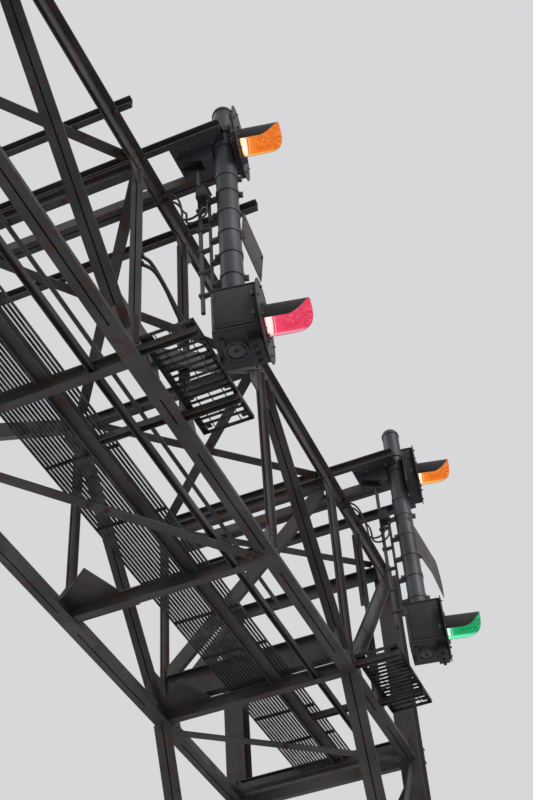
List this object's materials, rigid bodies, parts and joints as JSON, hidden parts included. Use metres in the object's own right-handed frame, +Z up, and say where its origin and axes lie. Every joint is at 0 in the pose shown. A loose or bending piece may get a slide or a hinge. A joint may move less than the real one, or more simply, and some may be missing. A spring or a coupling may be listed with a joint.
{
  "type": "railway signal gantry",
  "caption": "Riveted box-truss signal bridge on tapered lattice legs, with a catwalk inside and hooded colour-light signals on masts hung in front.",
  "frame": {"origin": "at ground level, in the middle of the whole outline seen from above", "axes": "+X the way the signals face, +Y along the truss towards the far tower, +Z up"},
  "size_m": [3.1876, 12.27, 10.613],
  "materials": {
    "structural_steel": "weathered dark paint over riveted steel, with rust",
    "grating_steel": "dull weathered bar grating",
    "mast_paint": "weathered dark paint",
    "signal_black": "matt black signal paint",
    "plate_paint": "blank painted plate",
    "amber_lens": "lit amber lens",
    "red_lens": "lit red lens",
    "green_lens": "lit green lens"
  },
  "bodies": {
    "root": {"back_bottom_chord": "structural_steel", "back_diagonals": "structural_steel", "back_gussets": "structural_steel", "back_posts": "structural_steel", "back_top_chord": "structural_steel", "bottom_bracing": "structural_steel", "bottom_struts": "structural_steel", "cable_pipe": "structural_steel", "catwalk_bearers": "structural_steel", "catwalk_grating": "grating_steel", "deck_plates": "structural_steel", "far_base_plates": "structural_steel", "far_discs": "signal_black", "far_hoods": "signal_black", "far_lamp_cases": "signal_black", "far_leg_lacing": "structural_steel", "far_lower_lens": "green_lens", "far_mast": "mast_paint", "far_mast_bracket": "mast_paint", "far_mast_cap": "mast_paint", "far_mast_conduit": "mast_paint", "far_number_plate": "plate_paint", "far_outer_legs": "structural_steel", "far_outrigger_beams": "structural_steel", "far_platform_beams": "structural_steel", "far_platform_grating": "grating_steel", "far_raking_legs": "structural_steel", "far_tower_bracing": "structural_steel", "far_upper_lens": "amber_lens", "front_bottom_chord": "structural_steel", "front_diagonals": "structural_steel", "front_gussets": "structural_steel", "front_posts": "structural_steel", "front_top_chord": "structural_steel", "near_base_plates": "structural_steel", "near_discs": "signal_black", "near_hoods": "signal_black", "near_lamp_cases": "signal_black", "near_leg_lacing": "structural_steel", "near_lower_lens": "red_lens", "near_mast": "mast_paint", "near_mast_bracket": "mast_paint", "near_mast_cap": "mast_paint", "near_mast_conduit": "mast_paint", "near_number_plate": "plate_paint", "near_outer_legs": "structural_steel", "near_outrigger_beams": "structural_steel", "near_platform_beams": "structural_steel", "near_platform_grating": "grating_steel", "near_raking_legs": "structural_steel", "near_tower_bracing": "structural_steel", "near_upper_lens": "amber_lens", "portal_frames": "structural_steel", "top_bracing": "structural_steel", "top_struts": "structural_steel"}
  },
  "joints": []
}
